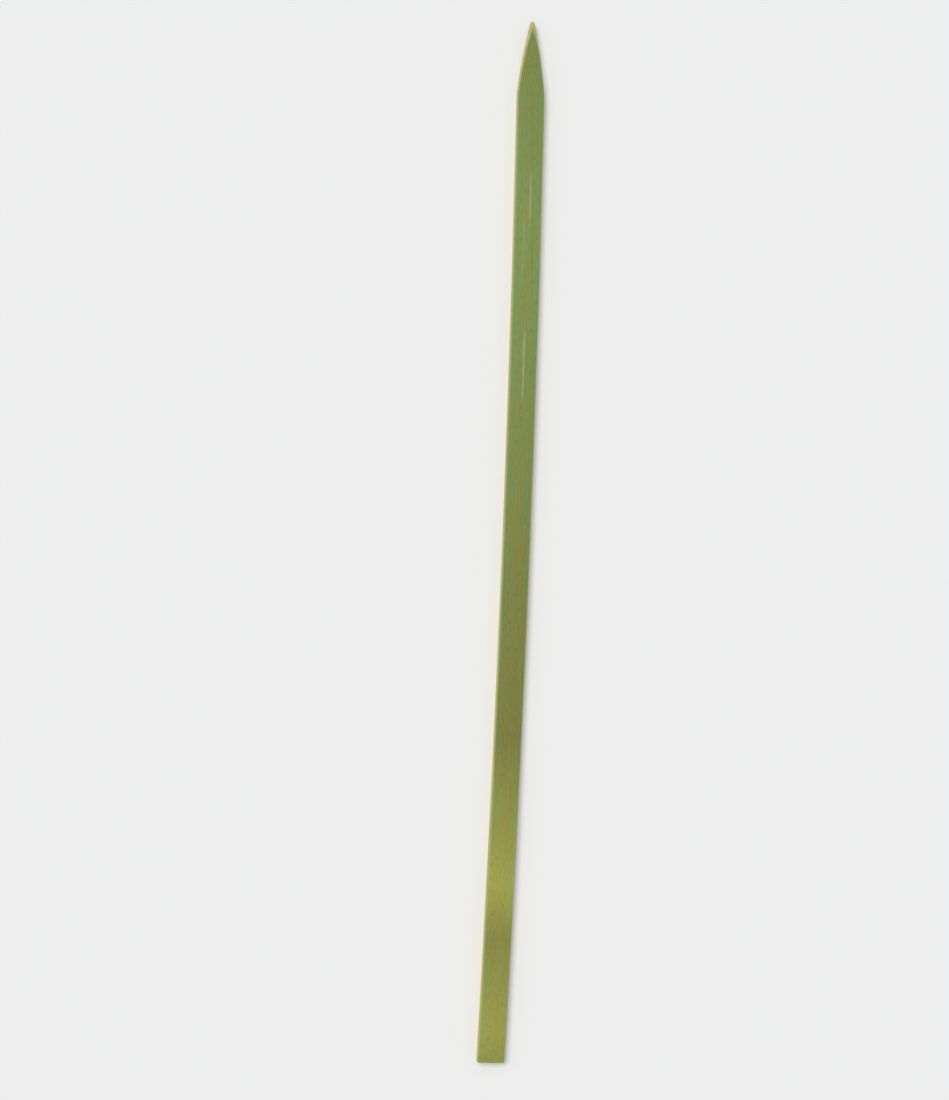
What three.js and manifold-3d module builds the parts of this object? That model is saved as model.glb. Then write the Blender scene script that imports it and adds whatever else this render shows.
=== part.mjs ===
// Flat bamboo skewer: one strip split out of a thick cane, planed to an even width and thickness,
// ground to a round point at one end and sawn off square at the other.
// Millimetres. The strip lies on its planed inner face with the cane's skin up. Its length runs
// along Y with the point at +Y, its width along X, and the origin is under the middle of its box.

import * as THREE from "three";
import { mergeVertices } from "three/addons/utils/BufferGeometryUtils.js";
import Module from "manifold-3d";

// Driving dimensions
const LENGTH = 270; // butt to tip
const WIDTH = 7; // between the planed sides
const THICKNESS = 3.1; // inner face to the crown of the skin
const CANE_RADIUS = 50; // the skin keeps the roundness of the cane it was split from
const SKIN_EDGE_ROUND = 0.3; // long edges of the skin, worn round in the tumbler
const INNER_EDGE_ROUND = 0.12; // long edges of the inner face, only just broken
const POINT_LENGTH = 21; // tip to where the grinding runs out on the strip's corners
const POINT_SWELL = 0.34; // the ground flank stands this far out of a straight cone
const TIP_RADIUS = 0.62; // the tip is left blunt
const POINT_RISE = 0.68; // the tip stands this much nearer the skin than mid-thickness
const EDGE_BOW = 1.3; // how far the middle stands towards +X of a line between the ends

// How finely the round stretches and the bow are faceted
const ARC_STEPS = 3;
const FLANK_STEPS = 12;
const TURN_STEPS = 64;
const BOW_STEPS = 28;

const half = { length: LENGTH / 2, width: WIDTH / 2, thickness: THICKNESS / 2 };

// Cross-section, x across and y up: flat inner face, planed sides and the crowned skin, whose two
// long edges are rounds that run tangent into the side and into the crown.
function sectionOfStrip() {
  const crownCentre = THICKNESS - CANE_RADIUS;
  const skinRoundX = half.width - SKIN_EDGE_ROUND;
  const innerRoundX = half.width - INNER_EDGE_ROUND;
  const rise = Math.sqrt((CANE_RADIUS - SKIN_EDGE_ROUND) ** 2 - skinRoundX ** 2);
  const skinRoundY = crownCentre + rise;
  const crownStart = Math.atan2(rise, skinRoundX);

  const section = new THREE.Shape();
  section.moveTo(-innerRoundX, 0);
  section.lineTo(innerRoundX, 0);
  section.absarc(innerRoundX, INNER_EDGE_ROUND, INNER_EDGE_ROUND, -Math.PI / 2, 0);
  section.absarc(skinRoundX, skinRoundY, SKIN_EDGE_ROUND, 0, crownStart);
  section.absarc(0, crownCentre, CANE_RADIUS, crownStart, Math.PI - crownStart);
  section.absarc(-skinRoundX, skinRoundY, SKIN_EDGE_ROUND, Math.PI - crownStart, Math.PI);
  section.absarc(-innerRoundX, INNER_EDGE_ROUND, INNER_EDGE_ROUND, Math.PI, 1.5 * Math.PI);
  return section;
}

// The planed strip at full length, before its point is ground.
function plainStrip() {
  return new THREE.ExtrudeGeometry(sectionOfStrip(), {
    depth: LENGTH,
    steps: BOW_STEPS,
    curveSegments: ARC_STEPS,
    bevelEnabled: false,
  })
    .rotateX(Math.PI / 2)
    .translate(0, half.length, 0);
}

// The form that the grinding leaves: a blunt round tip and a slightly swollen cone, turned about
// an axis along the strip. Its flank reaches the strip's furthest corners at POINT_LENGTH, so that
// it cuts the flat faces in arches. Past that it opens out and clears the rest of the strip.
function groundForm() {
  const cornerRadius = Math.hypot(half.width, half.thickness);
  const clearRadius = 2 * cornerRadius + EDGE_BOW;
  const flankRun = POINT_LENGTH - TIP_RADIUS;
  const flankRise = cornerRadius - TIP_RADIUS;
  const flankStart = Math.atan2(flankRise, flankRun);
  const tipCentre = half.length - TIP_RADIUS;
  const startX = TIP_RADIUS * Math.cos(flankStart);
  const startY = tipCentre + TIP_RADIUS * Math.sin(flankStart);
  const shoulderY = half.length - POINT_LENGTH;
  const buttY = -half.length - clearRadius;

  const outline = new THREE.Path();
  outline.moveTo(0, half.length);
  outline.absarc(0, tipCentre, TIP_RADIUS, Math.PI / 2, flankStart, true);
  outline.quadraticCurveTo(
    (startX + cornerRadius) / 2 + 2 * POINT_SWELL,
    (startY + shoulderY) / 2,
    cornerRadius,
    shoulderY,
  );
  outline.lineTo(clearRadius, shoulderY - clearRadius);
  outline.lineTo(clearRadius, buttY);
  outline.lineTo(0, buttY);
  const points = outline.getPoints(FLANK_STEPS).reverse();
  return new THREE.LatheGeometry(points, TURN_STEPS).translate(0, 0, half.thickness);
}

// The soft inner side grinds away faster than the hard skin side, so the point's axis climbs from
// mid-thickness towards the skin, most of all in the last few millimetres before the tip.
function climb(geometry) {
  const place = geometry.getAttribute("position");
  for (let i = 0; i < place.count; i++) {
    const alongPoint = 1 - (half.length - place.getY(i)) / POINT_LENGTH;
    place.setZ(i, place.getZ(i) + POINT_RISE * Math.max(0, alongPoint) ** 3);
  }
  return geometry;
}

// The cane's own crookedness: the strip is bowed edgewise, most at the middle of its length.
function bow(geometry) {
  const place = geometry.getAttribute("position");
  for (let i = 0; i < place.count; i++) {
    const along = place.getY(i) / half.length;
    place.setX(i, place.getX(i) + EDGE_BOW * (0.5 - along * along));
  }
  return geometry;
}

const wasm = await Module();
wasm.setup();

function toSolid(geometry) {
  geometry.deleteAttribute("normal");
  geometry.deleteAttribute("uv");
  const merged = mergeVertices(geometry);
  return new wasm.Manifold(
    new wasm.Mesh({
      numProp: 3,
      vertProperties: merged.getAttribute("position").array,
      triVerts: new Uint32Array(merged.index.array),
    }),
  );
}

function toGeometry(solid) {
  const { vertProperties, triVerts } = solid.getMesh();
  const geometry = new THREE.BufferGeometry()
    .setAttribute("position", new THREE.BufferAttribute(vertProperties, 3))
    .setIndex(new THREE.BufferAttribute(triVerts, 1))
    .toNonIndexed();
  geometry.computeVertexNormals();
  return geometry;
}

const bamboo = new THREE.MeshStandardMaterial({
  color: 0x80925a,
  roughness: 0.55,
  metalness: 0,
});

const skewer = new THREE.Mesh(
  toGeometry(toSolid(bow(plainStrip())).intersect(toSolid(bow(climb(groundForm()))))),
  bamboo,
);
skewer.name = "flat_skewer";

const group = new THREE.Group();
group.add(skewer);

export default group;
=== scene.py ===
import bmesh
import bpy
import math
from mathutils import Color, Euler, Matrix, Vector, noise


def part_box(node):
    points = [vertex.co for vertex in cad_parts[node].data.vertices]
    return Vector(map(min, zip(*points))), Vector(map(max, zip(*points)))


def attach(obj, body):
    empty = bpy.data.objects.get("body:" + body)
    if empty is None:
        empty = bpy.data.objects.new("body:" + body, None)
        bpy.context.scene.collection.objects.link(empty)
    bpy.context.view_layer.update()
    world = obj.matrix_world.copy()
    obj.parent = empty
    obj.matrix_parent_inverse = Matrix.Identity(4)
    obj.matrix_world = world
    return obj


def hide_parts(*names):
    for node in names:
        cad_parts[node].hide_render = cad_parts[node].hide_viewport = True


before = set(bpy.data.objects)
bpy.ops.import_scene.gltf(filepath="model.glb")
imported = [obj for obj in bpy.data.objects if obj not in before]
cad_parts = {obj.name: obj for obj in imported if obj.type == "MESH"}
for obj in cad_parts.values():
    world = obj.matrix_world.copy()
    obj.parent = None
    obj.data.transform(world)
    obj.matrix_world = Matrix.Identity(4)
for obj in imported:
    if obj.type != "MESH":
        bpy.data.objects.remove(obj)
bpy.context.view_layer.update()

# The blank is one strip of bamboo, split out of a thick cane and planed to an even width and
# thickness. The cane's skin stays on top, so that face keeps the cane's roundness. The strip is
# shaped in millimetres as a fine grid, and scaled to metres when it is done.
mm = 0.001
edge_bow = 1.3
cane_radius = 50
skin_edge_round = 0.3
inner_edge_round = 0.12
same_place = 1e-4

low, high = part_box("flat_skewer")
strip_length = (high.y - low.y) / mm
strip_thickness = (high.z - low.z) / mm
strip_width = (high.x - low.x) / mm - edge_bow
half_length = strip_length / 2
half_width = strip_width / 2

blank = bmesh.new()
bmesh.ops.create_cube(blank, size=1)
bmesh.ops.scale(blank, vec=(strip_width, strip_length, strip_thickness), verts=blank.verts)
bmesh.ops.translate(blank, vec=(0, 0, strip_thickness / 2), verts=blank.verts)


def edges_along(axis):
    def runs_so(edge):
        run = edge.verts[1].co - edge.verts[0].co
        return abs(run[axis]) > run.length / 2

    return [edge for edge in blank.edges if runs_so(edge)]


cuts_across = 83
cuts_up = 36
cuts_along = 259
for axis, cuts in ((0, cuts_across), (2, cuts_up), (1, cuts_along)):
    bmesh.ops.subdivide_edges(blank, edges=edges_along(axis), cuts=cuts, use_grid_fill=True)

# The grid's rows stand close at the sawn end, closest at the tip, and wide between, because the
# finest forms are cut there.
butt_rows = 0.05
butt_zone = 3.0
tip_rows = 0.40
tip_zone = 24.0
tip_crowding = 1.6


def row_place(share):
    if share < butt_rows:
        return butt_zone * share / butt_rows
    if share < 1 - tip_rows:
        body = (share - butt_rows) / (1 - tip_rows - butt_rows)
        return butt_zone + body * (strip_length - tip_zone - butt_zone)
    return strip_length - tip_zone * ((1 - share) / tip_rows) ** tip_crowding


for vert in blank.verts:
    vert.co.y = row_place(vert.co.y / strip_length + 0.5) - half_length

# The strip's four long faces are unrolled and laid out in four bands, side by side, so that a
# baked picture of the finish spends its points evenly on something so long and thin. Each band
# has a margin at its ends, and the two end faces lie on shelves past the bands.
bands = 4
band_gap = 0.6
band_margin = 1.5
band_length = strip_length / bands
girth = 2 * (strip_width + strip_thickness)
sheet = bands * (girth + band_gap)
first_shelf = band_length + 2 * band_margin
second_shelf = first_shelf + strip_thickness + band_gap
unrolled = blank.loops.layers.uv.new("OFBake")


def round_the_strip(face, place):
    from_left = place.x + half_width
    if abs(face.normal.z) > 0.5:
        return from_left if face.normal.z < 0 else girth - strip_thickness - from_left
    return strip_width + place.z if face.normal.x > 0 else girth - place.z


blank.normal_update()
for face in blank.faces:
    start = face.calc_center_median().y + half_length
    band = min(bands - 1, int(start / band_length))
    for loop in face.loops:
        place = loop.vert.co
        if abs(face.normal.y) > 0.5:
            shelf = second_shelf if face.normal.y > 0 else first_shelf
            spot = Vector((place.x + half_width, shelf + place.z))
        else:
            across = band * (girth + band_gap) + round_the_strip(face, place)
            along = place.y + half_length - band * band_length + band_margin
            spot = Vector((across, along))
        loop[unrolled].uv = (spot + Vector((band_gap / 2, 0))) / sheet

# Planing leaves the sides and the inner face faintly ribbed where the blade tore along the
# fibres, while the skin is only a little uneven. The long edges of the skin are worn round in a
# tumbler, and those of the inner face are only just broken.
fibre_rib = 0.26
fibre_run = 32.0
side_tear = 0.05
inner_tear = 0.045
inner_rib = 1.3 * fibre_rib
skin_dent = 0.012
dent_width = 1.4
dent_run = 24
crown_fade = 8


# Ribs and finer ribs among them: 0 where the fibres are whole, 1 where they are torn deepest
def ribbed(across, along, width, run, seed):
    wide = noise.noise(Vector((across / width, along / run, seed)))
    fine = noise.noise(Vector((across / width * 2.3, along / run * 1.7, seed + 9)))
    return max(0, min(1, 0.5 + 0.8 * wide + 0.5 * fine))


# Where a point of the square section lies once the long edges are rounded
def rounded(x, z):
    top = z > strip_thickness / 2
    round_off = skin_edge_round if top else inner_edge_round
    face = strip_thickness if top else 0
    in_x = half_width - round_off
    in_z = face - round_off if top else round_off
    off = Vector((abs(x) - in_x, (z - in_z) * (1 if top else -1)))
    if min(off) <= 0:
        return x, z
    off *= round_off / off.length
    return math.copysign(in_x + off.x, x), in_z + off.y * (1 if top else -1)


for vert in blank.verts:
    x, y, z = vert.co
    on_side = abs(x) > half_width - same_place
    on_skin = z > strip_thickness - same_place
    on_inner_face = z < same_place
    x, z = rounded(x, z)
    if on_side:
        x -= math.copysign(side_tear * ribbed(z, y, fibre_rib, fibre_run, x), x)
    if on_inner_face:
        z += inner_tear * ribbed(x, y, inner_rib, fibre_run, 5)
    if on_skin:
        z -= skin_dent * ribbed(x, y, dent_width, dent_run, 3)
    z -= x * x / (2 * cane_radius) * max(0, z / strip_thickness) ** crown_fade
    vert.co = (x, y, z)

# The point is ground while the strip spins, so it is round like a pencil's: a blunt tip, then a
# slightly swollen cone, which cuts the flat faces in long arches. The soft inner side goes
# faster than the skin, so the point's axis climbs towards the skin at the tip.
point_length = 21
point_swell = 0.34
tip_radius = 0.62
point_rise = 0.68
grinding_depth = 0.05
tear_ring = 3
tear_width = 0.5
tear_run = 1.6
polished_tip = 1.2
corner_radius = math.hypot(half_width, strip_thickness / 2)
flank_start = math.atan2(corner_radius - tip_radius, point_length - tip_radius)
start_back = tip_radius * (1 - math.sin(flank_start))
start_radius = tip_radius * math.cos(flank_start)


def ground_radius(back):
    if back < same_place:
        return 0
    if back < start_back:
        return math.sqrt(2 * tip_radius * back - back * back)
    share = (back - start_back) / (point_length - start_back)
    straight = start_radius + (corner_radius - start_radius) * share
    return straight + 4 * point_swell * share * (1 - share)


for vert in blank.verts:
    back = half_length - vert.co.y
    if back > point_length:
        continue
    limit = ground_radius(back)
    axis_height = strip_thickness / 2 + point_rise * (1 - back / point_length) ** 3
    arm = Vector((vert.co.x, vert.co.z - axis_height))
    if arm.length < limit:
        continue
    angle = math.atan2(arm.y, arm.x)
    ring_x = math.cos(angle) * tear_ring
    ring_z = math.sin(angle) * tear_ring
    torn = ribbed(ring_x, back, tear_width, tear_run, ring_z)
    limit -= grinding_depth * torn * min(1, back / polished_tip)
    vert.co.x = arm.x / arm.length * limit
    vert.co.z = axis_height + arm.y / arm.length * limit
bmesh.ops.remove_doubles(blank, verts=blank.verts, dist=same_place)

# The other end is sawn off square, and the blade's teeth leave it faintly stepped and fibrous.
# The strokes run nearly level with the inner face.
saw_pitch = 0.55
saw_depth = 0.08
saw_slant = 0.12
fibre_end = 0.22
for vert in blank.verts:
    if vert.co.y < -half_length + same_place:
        stroke = math.sin(2 * math.pi * (vert.co.z + saw_slant * vert.co.x) / saw_pitch)
        fibre = ribbed(vert.co.x, vert.co.z, fibre_end, fibre_end, 7)
        vert.co.y += saw_depth * (0.3 + 0.3 * stroke + 0.4 * fibre)

# The whole strip is bowed edgewise, as the cane grew, most at the middle of its length. Edges
# that are still sharp after the shaping stay sharp to the eye, and the rest is smooth.
sharp_edge = math.radians(38)
for vert in blank.verts:
    half_lengths = vert.co.y / half_length
    vert.co.x += edge_bow * (0.5 - half_lengths * half_lengths)
bmesh.ops.scale(blank, vec=(mm, mm, mm), verts=blank.verts)
bmesh.ops.recalc_face_normals(blank, faces=blank.faces)
for edge in blank.edges:
    edge.smooth = edge.calc_face_angle(0) < sharp_edge
for face in blank.faces:
    face.smooth = True

strip_mesh = bpy.data.meshes.new("bamboo_strip")
blank.to_mesh(strip_mesh)
blank.free()
strip = bpy.data.objects.new("bamboo_strip", strip_mesh)
bpy.context.scene.collection.objects.link(strip)
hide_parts("flat_skewer")
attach(strip, "root")

# Bamboo, coloured through and through as the cane grew, so that every cut shows its own part of
# it. Each point's place in the strip is worked out first: how far off the centre line it is, how
# far along, and how deep under the skin, all in millimetres.
bamboo = bpy.data.materials.new("bamboo")
bamboo.use_nodes = True
strip_mesh.materials.append(bamboo)
nodes = bamboo.node_tree.nodes
links = bamboo.node_tree.links
finish = nodes["Principled BSDF"]


def wire(value, socket):
    if isinstance(value, bpy.types.NodeSocket):
        links.new(value, socket)
    else:
        socket.default_value = value


def reckon(operation, *values):
    step = nodes.new("ShaderNodeMath")
    step.operation = operation
    for value, socket in zip(values, step.inputs):
        wire(value, socket)
    return step.outputs[0]


def plus(first, second):
    return reckon("ADD", first, second)


def minus(first, second):
    return reckon("SUBTRACT", first, second)


def times(first, second):
    return reckon("MULTIPLY", first, second)


metres = nodes.new("ShaderNodeSeparateXYZ")
links.new(nodes.new("ShaderNodeTexCoord").outputs["Object"], metres.inputs[0])
x_mm, y_mm, z_mm = (times(out, 1 / mm) for out in metres.outputs)
from_middle = times(y_mm, 2 / strip_length)
bow_here = times(minus(0.5, times(from_middle, from_middle)), edge_bow)
off_centre = minus(x_mm, bow_here)
crown = times(times(off_centre, off_centre), -0.5 / cane_radius)
depth = minus(plus(crown, strip_thickness), z_mm)

# The wood is pale green right under the skin, then dense and tan, and turns cream inwards. Its
# brown fibre bundles run the whole length: fine and close near the skin, coarse and sparse
# further in. Planed faces show them as lines, and the sawn end shows them as dots.
wood_by_depth = (
    (0.00, (146, 164, 104)),
    (0.03, (172, 182, 120)),
    (0.09, (184, 180, 112)),
    (0.20, (190, 179, 112)),
    (0.45, (199, 188, 127)),
    (0.80, (206, 198, 147)),
    (1.00, (208, 202, 160)),
)
fine_zone = 0.7
coarse_zone = 1.5


# A cloud's value swings about a half. This centres the swing on nothing and sets its size.
def swing(cloud, size):
    return times(minus(cloud, 0.5), size)


def ease(value, start, end, to_start=0.0, to_end=1.0):
    step = nodes.new("ShaderNodeMapRange")
    step.interpolation_type = "SMOOTHSTEP"
    for given, socket in zip((value, start, end, to_start, to_end), step.inputs):
        wire(given, socket)
    return step.outputs[0]


def along_the_grain(width, run, thickness):
    spot = nodes.new("ShaderNodeCombineXYZ")
    for size, value, socket in zip((width, run, thickness), (off_centre, y_mm, depth), spot.inputs):
        links.new(times(value, 1 / size), socket)
    return spot.outputs[0]


# Soft clouds, as wide, long and thick as the first three sizes say
def cloudy(width, run, thickness, detail=2.0, roughness=0.5):
    step = nodes.new("ShaderNodeTexNoise")
    links.new(along_the_grain(width, run, thickness), step.inputs["Vector"])
    step.inputs["Scale"].default_value = 1
    step.inputs["Detail"].default_value = detail
    step.inputs["Roughness"].default_value = roughness
    return step.outputs[0]


# Round dots, about as far apart as the size says
def scattered(size, spot, inner, outer, flat=False):
    step = nodes.new("ShaderNodeTexVoronoi")
    step.voronoi_dimensions = "2D" if flat else "3D"
    links.new(spot, step.inputs["Vector"])
    step.inputs["Scale"].default_value = 1 / size
    return ease(step.outputs["Distance"], inner, outer, 1, 0)


def tint(red, green, blue):
    return (*Color((red / 255, green / 255, blue / 255)).from_srgb_to_scene_linear(), 1)


# A mixing step takes colours at its inputs 6 and 7, and numbers at its inputs 2 and 3
def laid_over(under, over, amount, way="MIX"):
    step = nodes.new("ShaderNodeMix")
    step.data_type = "RGBA"
    step.blend_type = way
    wire(amount, step.inputs[0])
    wire(under, step.inputs[6])
    wire(over, step.inputs[7])
    return step.outputs[2]


def shaded(value, shades):
    step = nodes.new("ShaderNodeValToRGB")
    while len(step.color_ramp.elements) < len(shades):
        step.color_ramp.elements.new(1)
    for stop, (where, colour) in zip(step.color_ramp.elements, shades):
        stop.position = where
        stop.color = tint(*colour)
    wire(value, step.inputs[0])
    return step.outputs[0]


bundle_brown = tint(156, 126, 66)
pale_fibre = tint(214, 206, 160)
dark_fibre = tint(160, 138, 74)
root_warmth = tint(255, 236, 176)

drift = swing(cloudy(0.8, 50, 0.6), 0.9)
wood_depth = reckon("MAXIMUM", plus(depth, drift), depth)
wood = shaded(reckon("DIVIDE", wood_depth, strip_thickness), wood_by_depth)

cross_section = nodes.new("ShaderNodeCombineXYZ")
wander = swing(cloudy(4, 60, 4), 0.5)
wire(plus(off_centre, wander), cross_section.inputs[0])
wire(plus(depth, times(wander, 0.4)), cross_section.inputs[1])
fine_bundles = scattered(0.36, cross_section.outputs[0], 0.20, 0.44, flat=True)
coarse_bundles = scattered(0.62, cross_section.outputs[0], 0.16, 0.34, flat=True)
bundles = plus(
    times(fine_bundles, ease(depth, fine_zone, coarse_zone, 1, 0)),
    times(coarse_bundles, ease(depth, fine_zone, coarse_zone, 0, 1)),
)
bundle_strength = times(bundles, ease(cloudy(0.5, 22, 0.5), 0.35, 0.65, 0.2, 0.65))
fibres = cloudy(0.11, 26, 0.11, 3)
wood_colour = laid_over(wood, bundle_brown, bundle_strength)
wood_colour = laid_over(wood_colour, pale_fibre, ease(fibres, 0.52, 0.74, 0, 0.45))
wood_colour = laid_over(wood_colour, dark_fibre, ease(fibres, 0.46, 0.28, 0, 0.45))
wood_colour = laid_over(wood_colour, root_warmth, ease(y_mm, 60, -130, 0, 0.45), "MULTIPLY")

# The skin is green, and browner along its middle, towards the root and in soft patches. It is
# mottled with small dark and pale flecks, lined with fine threads and sparsely specked. Up the
# cane it turns lighter and darker in stretches. These are partly its own tone and partly painted
# light: a painted highlight about a sixth of the way from the sawn end, and painted shade at about
# a third. Its worn long edges are a little paler.
cane_green = tint(139, 174, 91)
cane_brown = tint(165, 160, 64)
dark_fleck = tint(112, 100, 46)
pale_fleck = tint(150, 172, 98)
pale_thread = tint(146, 158, 88)
dark_thread = tint(90, 98, 40)
pale_speck = tint(190, 188, 130)
worn_edge = tint(158, 182, 112)
# Grey levels up the cane, from the sawn end to the point. The palest stop, at 0.17, is a painted
# highlight, the darkest, at 0.31, is painted shade, and the rest is the cane's own tone.
tone_and_painted_light_up_the_cane = (
    (0.00, 221),
    (0.03, 238),
    (0.12, 208),
    (0.17, 246),
    (0.31, 189),
    (0.50, 198),
    (0.80, 213),
    (1.00, 196),
)

patches = cloudy(1.5, 9, 3, 3)
streaks = cloudy(0.5, 34, 3, 3)
mottle = cloudy(0.3, 1.8, 3, 4, 0.62)
threads = cloudy(0.12, 30, 3, 2)
from_centre_line = reckon("ABSOLUTE", off_centre)
browning = times(ease(from_centre_line, 3.1, 0.9), 0.38)
browning = plus(browning, ease(y_mm, 70, -70, 0.02, 0.58))
browning = plus(browning, swing(patches, 2.4))
browning = plus(browning, swing(streaks, 0.9))
browning = reckon("MAXIMUM", reckon("MINIMUM", browning, 1), 0)

skin = laid_over(cane_green, cane_brown, browning)
skin = laid_over(skin, dark_fleck, ease(mottle, 0.48, 0.30, 0, 0.45))
skin = laid_over(skin, pale_fleck, ease(mottle, 0.52, 0.72, 0, 0.6))
skin = laid_over(skin, pale_thread, ease(threads, 0.53, 0.70, 0, 0.3))
skin = laid_over(skin, dark_thread, ease(threads, 0.45, 0.30, 0, 0.3))
specks = scattered(1, along_the_grain(1.0, 3.6, 3), 0.05, 0.13)
skin = laid_over(skin, pale_speck, times(specks, 0.5))

up_the_cane = plus(times(from_middle, 0.5), 0.5)
tones_and_painted_light = [(where, (grey, grey, grey)) for where, grey in tone_and_painted_light_up_the_cane]
# The skin is multiplied by its own tone up the cane, and by the painted highlight and painted shade
# among those grey levels.
skin = laid_over(skin, shaded(up_the_cane, tones_and_painted_light), 1.0, "MULTIPLY")
edges = ease(from_centre_line, half_width - 0.36, half_width - 0.16, 0, 0.3)
skin = laid_over(skin, worn_edge, edges)

# Three faint scuffs from handling run along the skin, in its upper half. Each is broken up by
# the grain, and fades in and out.
scuff_white = tint(172, 198, 160)


def scuffed(skin, line, width, butt_end, tip_end, strength):
    middle = plus(line, swing(patches, 0.5))
    mark = ease(reckon("ABSOLUTE", minus(off_centre, middle)), width, 0)
    fade = times(ease(y_mm, butt_end, butt_end + 8), ease(y_mm, tip_end, tip_end - 8))
    broken = times(ease(cloudy(0.16, 2.4, 3, 3), 0.3, 0.6, 0.2, 1), strength)
    return laid_over(skin, scuff_white, times(times(mark, fade), broken))


skin = scuffed(skin, 0.42, 0.30, 79, 99, 0.55)
skin = scuffed(skin, 0.0, 0.36, 34, 58, 0.55)
skin = scuffed(skin, -1.1, 0.20, 64, 88, 0.35)

# The skin is a few hundredths of a millimetre thick, and any deeper cut bares the wood. Grinding
# has left a small brown stain where the skin runs out at the point.
skin_start = 0.020
skin_end = 0.055
stain_back = 2.5
stain_size = 0.45
stain_brown = tint(142, 118, 34)

stain_x = times(off_centre, 1 / stain_size)
stain_y = times(minus(y_mm, half_length - stain_back), 0.6 / stain_size)
stain_off = plus(times(stain_x, stain_x), times(stain_y, stain_y))
stain = times(ease(stain_off, 1.0, 0.2, 0, 0.6), ease(depth, 0.5, 0.2))
bare = ease(plus(depth, swing(mottle, 0.03)), skin_start, skin_end)
bamboo_colour = laid_over(laid_over(skin, wood_colour, bare), stain_brown, stain)
links.new(bamboo_colour, finish.inputs["Base Color"])

# The skin is smooth and half matt, and the cut wood is dull and fibrous. The grain stands out
# by a few hundredths of a millimetre on the wood, and hardly at all on the skin.
skin_roughness = ease(mottle, 0.3, 0.7, 0.60, 0.46)
wood_roughness = ease(fibres, 0.3, 0.7, 0.86, 0.70)
skin_relief = plus(times(threads, 0.008), times(mottle, 0.006))
wood_relief = minus(times(fibres, 0.05), times(bundles, 0.02))


def skin_or_wood(of_skin, of_wood):
    step = nodes.new("ShaderNodeMix")
    wire(bare, step.inputs[0])
    wire(of_skin, step.inputs[2])
    wire(of_wood, step.inputs[3])
    return step.outputs[0]


bump = nodes.new("ShaderNodeBump")
bump.inputs["Distance"].default_value = mm
bump.inputs["Strength"].default_value = 0.8
links.new(skin_or_wood(skin_relief, wood_relief), bump.inputs["Height"])
links.new(bump.outputs[0], finish.inputs["Normal"])
links.new(skin_or_wood(skin_roughness, wood_roughness), finish.inputs["Roughness"])
finish.inputs["Specular IOR Level"].default_value = 0.35

# A plain pale floor, one broad soft light from above, a little from the upper left, and an even
# pale room round it.
floor_mesh = bpy.data.meshes.new("floor")
floor_shape = bmesh.new()
bmesh.ops.create_grid(floor_shape, x_segments=1, y_segments=1, size=3)
floor_shape.to_mesh(floor_mesh)
floor_shape.free()
floor_paint = bpy.data.materials.new("floor_paint")
floor_paint.use_nodes = True
paint = floor_paint.node_tree.nodes["Principled BSDF"]
paint.inputs["Base Color"].default_value = (0.82, 0.82, 0.81, 1)
paint.inputs["Roughness"].default_value = 0.9
floor_mesh.materials.append(floor_paint)
floor = bpy.data.objects.new("floor", floor_mesh)
bpy.context.scene.collection.objects.link(floor)

window = bpy.data.lights.new("window", "SUN")
window.angle = math.radians(34)
window.energy = 1.75
window_place = bpy.data.objects.new("window", window)
window_place.location = (-0.38, 0.30, 0.95)
window_place.rotation_euler = (-window_place.location).to_track_quat("-Z", "Y").to_euler()
bpy.context.scene.collection.objects.link(window_place)

room = bpy.data.worlds.new("room")
room.use_nodes = True
room_light = room.node_tree.nodes["Background"]
room_light.inputs["Color"].default_value = (0.97, 0.98, 1, 1)
room_light.inputs["Strength"].default_value = 0.56
bpy.context.scene.world = room
bpy.context.scene.view_settings.view_transform = "Standard"

# The camera looks down on the strip, which lies on its inner face with the point up the picture,
# and leans a little over its left side, as in the photograph. It is turned and set aside until
# the two ends fall where the photograph has them.
photo_width = 949
photo_height = 1100
tip_pixel = Vector((533, 21))
butt_pixel = Vector((491, 1063))
lean = math.radians(7)

span = tip_pixel - butt_pixel
turn = math.atan2(span.x, -span.y)
mm_per_pixel = strip_length / span.length
photo_middle = Vector((photo_width, photo_height)) / 2
aside = ((tip_pixel + butt_pixel) / 2 - photo_middle) * mm_per_pixel
posture = Euler((0, -lean, 0)).to_matrix() @ Euler((0, 0, turn)).to_matrix()

lens_data = bpy.data.cameras.new("camera")
lens_data.lens = 85
lens_data.sensor_width = 36
reach = photo_height * mm_per_pixel * lens_data.lens / lens_data.sensor_width
camera = bpy.data.objects.new("camera", lens_data)
middle_of_ends = Vector((-edge_bow / 2, 0, strip_thickness))
camera.location = (middle_of_ends + posture @ Vector((-aside.x, aside.y, reach))) * mm
camera.rotation_euler = posture.to_euler()
bpy.context.scene.collection.objects.link(camera)
bpy.context.scene.camera = camera
